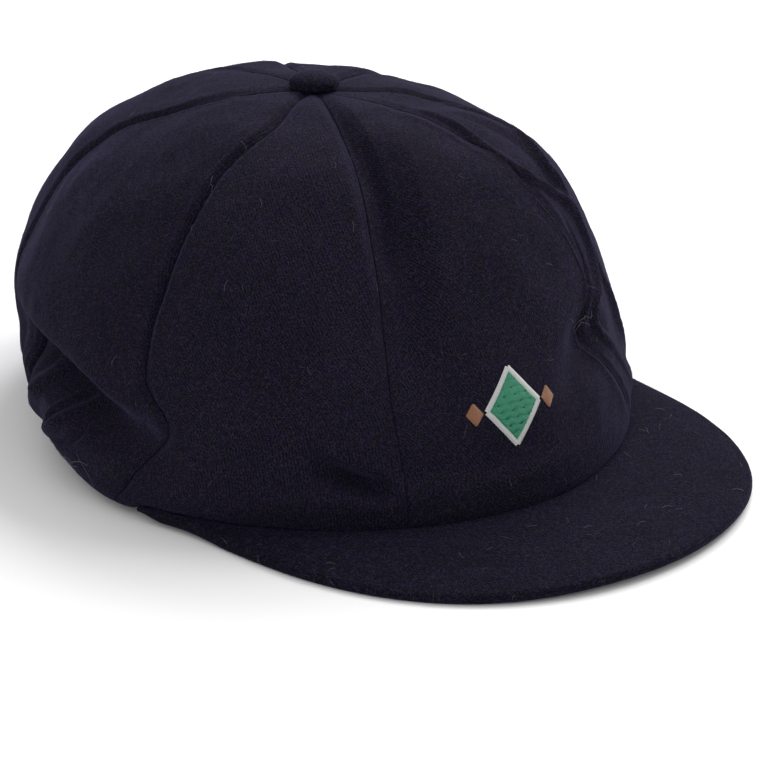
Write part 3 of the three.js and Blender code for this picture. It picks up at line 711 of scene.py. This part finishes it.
peak_cloth = milled_wool("peak_wool_shaded", wool_dark, peak_fibre, 0.03, nap)
peak_piece = add_piece(
    "peak_cloth", shell_mesh("peak_cloth", peak_upper, peak_lower, peak_flat), peak_cloth)
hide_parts("peak")
peak_fibres = grow(
    "peak_fibres", [peak_upper], 9, 190000.0, 1.9 * mm, fibre_thickness, 0.1, fibre_wool)
add_piece("peak_fibres", peak_fibres, None)
peak_lint = grow(
    "peak_lint", [peak_upper], 22, 5000.0, lint_length, lint_thickness, lint_stand, lint)
add_piece("peak_lint", peak_lint, None)

# The button is a small domed mould covered with a round of the same wool, drawn together beneath it
# and stitched through the middle of the crown by a short shank.
button_radius = 7.4 * mm
button_height = 4.8 * mm
button_edge = 2 * mm
shank_radius = 2.4 * mm
# The cover's small gathers: how deep, how high above the seat, and over what height they fade.
drawn_depth, drawn_at, drawn_spread = 0.16 * mm, 1.2 * mm, 1.3 * mm
button_seat = button_high.z - button_height
shank_foot = apex[2] - cloth_wall - button_seat
outline = [(0, shank_foot), (shank_radius, shank_foot), (shank_radius, -0.1 * mm),
           (0.5 * button_radius, 0.05 * mm), (0.8 * button_radius, 0.15 * mm)]
for t in np.linspace(0, 1, 8):
    bulging = (1 - t) ** 2 * (button_radius - button_edge / 2) + (2 * t - t * t) * button_radius
    outline.append((bulging, t * t * button_edge))
button_shoulder = button_edge + 0.6 * (button_height - button_edge)
for t in np.linspace(0.06, 1, 22):
    outline.append((bezier(t, button_radius, button_radius, 0.55 * button_radius, 0),
                    bezier(t, button_edge, button_shoulder, button_height, button_height)))
around = np.radians(np.arange(0, 360, 5))
button_points, button_faces = [], []
for reach, rise in outline:
    for turn in around:
        fade = math.exp(-((rise - drawn_at) / drawn_spread) ** 2)
        drawn = drawn_depth * math.sin(11 * turn + 0.6) * fade
        lump = 0.12 * mm * math.sin(2 * turn + 1) + 0.08 * mm * math.sin(3 * turn + 2)
        wide = reach + (drawn + lump) * min(1, reach / button_radius) ** 2
        button_points.append((wide * math.sin(turn), -wide * math.cos(turn), rise))
steps = len(around)
for ring in range(len(outline) - 1):
    for i in range(steps):
        j = (i + 1) % steps
        below, above = ring * steps, (ring + 1) * steps
        button_faces.append((below + i, below + j, above + j, above + i))
button_mesh = bpy.data.meshes.new("button_cloth")
offset = Vector((crown_place[0] + apex_left, crown_place[1] + apex_back, button_seat))
button_mesh.from_pydata([Vector(p) + offset for p in button_points], [], button_faces)
button_shape = bmesh.new()
button_shape.from_mesh(button_mesh)
bmesh.ops.remove_doubles(button_shape, verts=button_shape.verts, dist=0.001 * mm)
bmesh.ops.recalc_face_normals(button_shape, faces=button_shape.faces)
button_shape.to_mesh(button_mesh)
button_shape.free()
layer = button_mesh.uv_layers.new(name="cloth")
for loop in button_mesh.loops:
    co = button_mesh.vertices[loop.vertex_index].co
    layer.data[loop.index].uv = (co.x, co.y)
button_mesh.polygons.foreach_set("use_smooth", np.ones(len(button_mesh.polygons), bool))
button_cloth = milled_wool("button_wool", wool_dark, wool_fibre, 0.06, 0.1 * mm)
button_piece = add_piece("button_cloth", button_mesh, button_cloth)
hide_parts("button")

# The badge is embroidered straight onto the front panel: blocks of satin stitch in green, white and
# tan thread, each stitch one thread across the block and back, standing a little above the cloth.
badge_angle, badge_level = 10.0, 0.119
badge_middle = smooth_crown(np.array(badge_angle), np.array(badge_level))
badge_out = crown_outward(np.array(badge_angle), np.array(badge_level))
badge_across = unit(np.cross((0, 0, 1), badge_out))
badge_up = np.cross(badge_out, badge_across)


def search_tree(mesh):
    corners = [vertex.co.copy() for vertex in mesh.vertices]
    return BVHTree.FromPolygons(corners, [tuple(face.vertices) for face in mesh.polygons])


front_faces = search_tree(front_panel.data)


def on_front(x, y, lift):
    start = Vector(badge_middle + crown_place + badge_across * x + badge_up * y + badge_out * 30 * mm)
    hit, normal, _, _ = front_faces.ray_cast(start, Vector(-badge_out))
    return hit + normal * lift


thread_pitch = 0.36 * mm


def satin_block(half_width, half_height, centre, tilt):
    """Stitches across a lozenge, as lists of points in the plane of the badge."""
    stitches = []
    count = int(2 * half_height / thread_pitch)
    for i in range(count):
        y = -half_height + (i + 0.5) * thread_pitch
        half = half_width * (1 - abs(y) / half_height)
        if half > 0.3 * mm:
            stitches.append([(centre[0] - half, centre[1] + y - tilt * half),
                             (centre[0] + half, centre[1] + y + tilt * half)])
    return stitches


def row_block(half_width, half_height, row_height, centre):
    """Rows of upright stitches that fill a lozenge, their ends a little uneven."""
    dice = np.random.default_rng(4)
    stitches = []
    rows = int(2 * half_height / row_height)
    for row in range(rows):
        bottom = -half_height + 2 * half_height * row / rows
        lean = (0.1, -0.06)[row % 2] * row_height
        count = int(2 * half_width / thread_pitch)
        for i in range(count):
            x = -half_width + 2 * half_width * (i + 0.5) / count
            limit = half_height * (1 - abs(x) / half_width)
            wave = 0.3 * mm * math.sin(1.7 * x / mm + 2 * row)
            low = max(bottom + wave, -limit) + dice.uniform(-0.2, 0) * mm
            high = min(bottom + wave + 2 * half_height / rows, limit) - dice.uniform(-0.2, 0) * mm
            if high - low > 0.6 * mm:
                stitches.append([(centre[0] + x - lean, centre[1] + low),
                                 (centre[0] + x + lean, centre[1] + high)])
    return stitches


def border_block(half_width, half_height, centre, breadth):
    """Short stitches across the edge line of a lozenge."""
    corners = [(half_width, 0), (0, half_height), (-half_width, 0), (0, -half_height), (half_width, 0)]
    stitches = []
    for (x0, y0), (x1, y1) in zip(corners[:-1], corners[1:]):
        side = math.hypot(x1 - x0, y1 - y0)
        normal = ((y1 - y0) / side, -(x1 - x0) / side)
        count = int(side / thread_pitch)
        for i in range(count):
            t = (i + 0.5) / count
            x, y = x0 + (x1 - x0) * t + centre[0], y0 + (y1 - y0) * t + centre[1]
            stitches.append([(x - normal[0] * breadth / 2, y - normal[1] * breadth / 2),
                             (x + normal[0] * breadth / 2, y + normal[1] * breadth / 2)])
    return stitches


def thread_tree():
    tree, sockets, given = open_tree("satin_stitches", {
        "Stitch lines": "Geometry", "Thread thickness": "Float", "Thread": "Material"}, "Stitches")
    line = feed(tree, add_node(tree, "GeometryNodeMeshToCurve"), Mesh=given["Stitch lines"]).outputs[0]
    radius = feed(tree, add_node(tree, "ShaderNodeMath", operation="DIVIDE"),
                  n0=given["Thread thickness"], n1=2.0).outputs[0]
    ring = feed(tree, add_node(tree, "GeometryNodeCurvePrimitiveCircle"), Resolution=6, Radius=radius)
    tube = feed(tree, add_node(tree, "GeometryNodeCurveToMesh"),
                Curve=line, Profile_Curve=ring.outputs[0], Fill_Caps=True)
    close_tree(tree, tube.outputs[0], given["Thread"])
    return tree, sockets


def embroidery_thread(name, colour, deep):
    material, tree, shader = new_material(name, Roughness=0.42, Sheen_Weight=0.15)
    place = add_node(tree, "ShaderNodeTexCoord").outputs["Object"]
    ply = feed(tree, add_node(tree, "ShaderNodeTexNoise"), Vector=place, Scale=2400.0, Detail=2.0)
    relief = add_node(tree, "ShaderNodeBump")
    feed(tree, relief, Height=ply.outputs[0], Distance=0.1 * mm, Strength=0.5)
    feed(tree, shader, Base_Color=mixed(tree, ply.outputs[0], deep, colour), Normal=relief.outputs[0])
    return material


thread_maker, thread_inputs = thread_tree()
thread_thickness = 0.42 * mm
stitch_piece = 1.6 * mm
stitch_arch, stitch_sink = 0.42 * mm, 0.12 * mm
middle = (0, 0)
side_width, side_height, side_place, side_tilt = 2.6 * mm, 3.4 * mm, 12.6 * mm, -0.1
tan_stitches = []
for side_x in (-side_place, side_place):
    tan_stitches += satin_block(side_width, side_height, (side_x, 0), side_tilt)
# The stitches of each block, with the colour of its thread and of the shade deep in it.
badge_blocks = {
    "badge_green_centre": (
        row_block(7.8 * mm, 9.6 * mm, 2.1 * mm, middle), (0.026, 0.3, 0.17), (0.007, 0.13, 0.065)),
    "badge_white_border": (
        border_block(8.9 * mm, 11 * mm, middle, 1.5 * mm), (0.62, 0.63, 0.61), (0.4, 0.41, 0.4)),
    "badge_tan_sides": (tan_stitches, (0.32, 0.14, 0.06), (0.18, 0.07, 0.03)),
}
for name, (stitches, colour, deep) in badge_blocks.items():
    points, edges = [], []
    for stitch in stitches:
        (x0, y0), (x1, y1) = stitch
        length = math.hypot(x1 - x0, y1 - y0)
        pieces = max(3, int(length / stitch_piece))
        for i in range(pieces + 1):
            t = i / pieces
            arch = min(stitch_arch, 0.22 * length) * (1 - (2 * t - 1) ** 2) - stitch_sink
            if i > 0:
                edges.append((len(points) - 1, len(points)))
            points.append(on_front(x0 + (x1 - x0) * t, y0 + (y1 - y0) * t, arch))
    lines = bpy.data.meshes.new(name + "_lines")
    lines.from_pydata(points, edges, [])
    thread = embroidery_thread(name + "_thread", colour, deep)
    made = run_tree(name, lines, thread_maker, {
        thread_inputs["Thread thickness"]: thread_thickness, thread_inputs["Thread"]: thread})
    add_piece(name, made, None)

# A few longer pale hairs and a little tuft of fluff cling to the cloth at the hem and in a seam.
# Each is one loose hair, held by the felted face: points of angle, level and lift in millimetres.
hair_thickness = 0.07 * mm
hair_paths = (
    ((96.5, 0.062, 0.3), (94.5, 0.05, 0.9), (93, 0.04, 1.0), (92.3, 0.028, 0.8), (92.6, 0.012, 0.3)),
    ((104, 0.02, 0.2), (101.5, 0.036, 0.8), (99.5, 0.034, 0.9), (97.5, 0.042, 0.6), (95.5, 0.05, 0.2)),
    ((102.5, 0.026, 0.2), (100, 0.04, 0.8), (98.8, 0.038, 0.5), (99.2, 0.028, 0.6), (97, 0.034, 0.2)),
    ((100.5, 0.022, 0.2), (98.5, 0.034, 0.6), (97, 0.045, 0.8), (95, 0.052, 0.5), (93.5, 0.05, 0.2)),
    ((346, 0.178, 0.3), (345, 0.19, 1.2), (343, 0.194, 1.8), (340.5, 0.186, 1.3), (339, 0.194, 0.4)),
    ((345.5, 0.172, 0.3), (343.5, 0.182, 1.4), (341.5, 0.178, 1.6), (340, 0.17, 0.5)),
    ((78, 0.606, 0.2), (78.3, 0.623, 0.8), (79.5, 0.64, 0.3)),
)
ground_mesh = face_mesh("hair_ground", cloth_faces)
ground = search_tree(ground_mesh)
bpy.data.meshes.remove(ground_mesh)
points, edges = [], []
for path in hair_paths:
    columns = np.array(path, float).T
    steps = np.linspace(0, len(path) - 1, 8 * (len(path) - 1) + 1)
    angle, level, lift = (curve_through(np.arange(len(path)), column, steps) for column in columns)
    for i, place in enumerate(smooth_crown(angle, level) + crown_place):
        spot, normal, _, _ = ground.find_nearest(Vector(place))
        if i > 0:
            edges.append((len(points) - 1, len(points)))
        points.append(spot + normal * float(lift[i]) * mm)
hair_lines = bpy.data.meshes.new("stray_hair_lines")
hair_lines.from_pydata(points, edges, [])
stray_hair = new_material("stray_hair", Base_Color=(0.12, 0.115, 0.125, 1), Roughness=0.6)[0]
stray_hairs = run_tree("stray_hairs", hair_lines, thread_maker, {
    thread_inputs["Thread thickness"]: hair_thickness, thread_inputs["Thread"]: stray_hair})
add_piece("stray_hairs", stray_hairs, None)

# The cap lies on a plain pale table top, under broad soft lights from the right, from the left and
# from behind, with a white room around it.
table_reach = 3
table_corners = [(x * table_reach, y * table_reach, 0) for x, y in ((-1, -1), (1, -1), (1, 1), (-1, 1))]
table_mesh = bpy.data.meshes.new("table_top")
table_mesh.from_pydata(table_corners, [], [(0, 1, 2, 3)])
table_top = bpy.data.objects.new("table_top", table_mesh)
bpy.context.scene.collection.objects.link(table_top)
table_paint = new_material("pale_table", Base_Color=(0.93, 0.93, 0.935, 1), Roughness=0.9)[0]
table_mesh.materials.append(table_paint)

world = bpy.data.worlds.new("studio")
world.use_nodes = True
feed(world.node_tree, world.node_tree.nodes["Background"], Color=(1, 1, 1, 1), Strength=0.72)
bpy.context.scene.world = world
for name, spot, size, power, tint in (
        ("window_light", (0.75, -0.15, 1.0), 0.7, 8.0, (1.0, 0.98, 0.96)),
        ("fill_light", (-0.9, -0.4, 0.8), 0.9, 1.1, (0.97, 0.98, 1.0)),
        ("back_light", (0.75, 0.45, 0.95), 0.5, 7.0, (0.96, 0.96, 1.0))):
    lamp = bpy.data.lights.new(name, "AREA")
    lamp.shape, lamp.size, lamp.energy, lamp.color = "DISK", size, power, tint
    holder = bpy.data.objects.new(name, lamp)
    bpy.context.scene.collection.objects.link(holder)
    holder.location = spot
    holder.rotation_euler = (Vector((0, 0, 0.05)) - Vector(spot)).to_track_quat("-Z", "Y").to_euler()
bpy.context.scene.view_settings.view_transform = "Standard"

# The camera looks down on the cap from in front of its right side, as in the photograph. Its
# focus and middle are in pixels of a square picture with the side below.
camera_turn, camera_rise, camera_roll = (math.radians(x) for x in (-44.6976, 23.7063, 0.437))
camera_distance = 694.425 * mm
camera_focus = 2210.3
picture_side, picture_middle = 767, (339.644, 410.574)
aim_height = 1.6 * mm
camera_back = Vector((math.sin(camera_turn) * math.cos(camera_rise),
                      -math.cos(camera_turn) * math.cos(camera_rise), math.sin(camera_rise)))
level_right = Vector((math.cos(camera_turn), math.sin(camera_turn), 0))
level_up = camera_back.cross(level_right)
camera_right = level_right * math.cos(camera_roll) + level_up * math.sin(camera_roll)
camera_up = level_up * math.cos(camera_roll) - level_right * math.sin(camera_roll)
lens = bpy.data.cameras.new("camera")
lens.sensor_width = 36
lens.lens = camera_focus / picture_side * lens.sensor_width
lens.shift_x = (picture_side / 2 - picture_middle[0]) / picture_side
lens.shift_y = (picture_middle[1] - picture_side / 2) / picture_side
camera = bpy.data.objects.new("camera", lens)
bpy.context.scene.collection.objects.link(camera)
aim = Matrix((camera_right, camera_up, camera_back)).transposed().to_4x4()
target = Vector(crown_place) + Vector((0, 0, aim_height))
camera.matrix_world = Matrix.Translation(target + camera_back * camera_distance) @ aim
bpy.context.scene.camera = camera
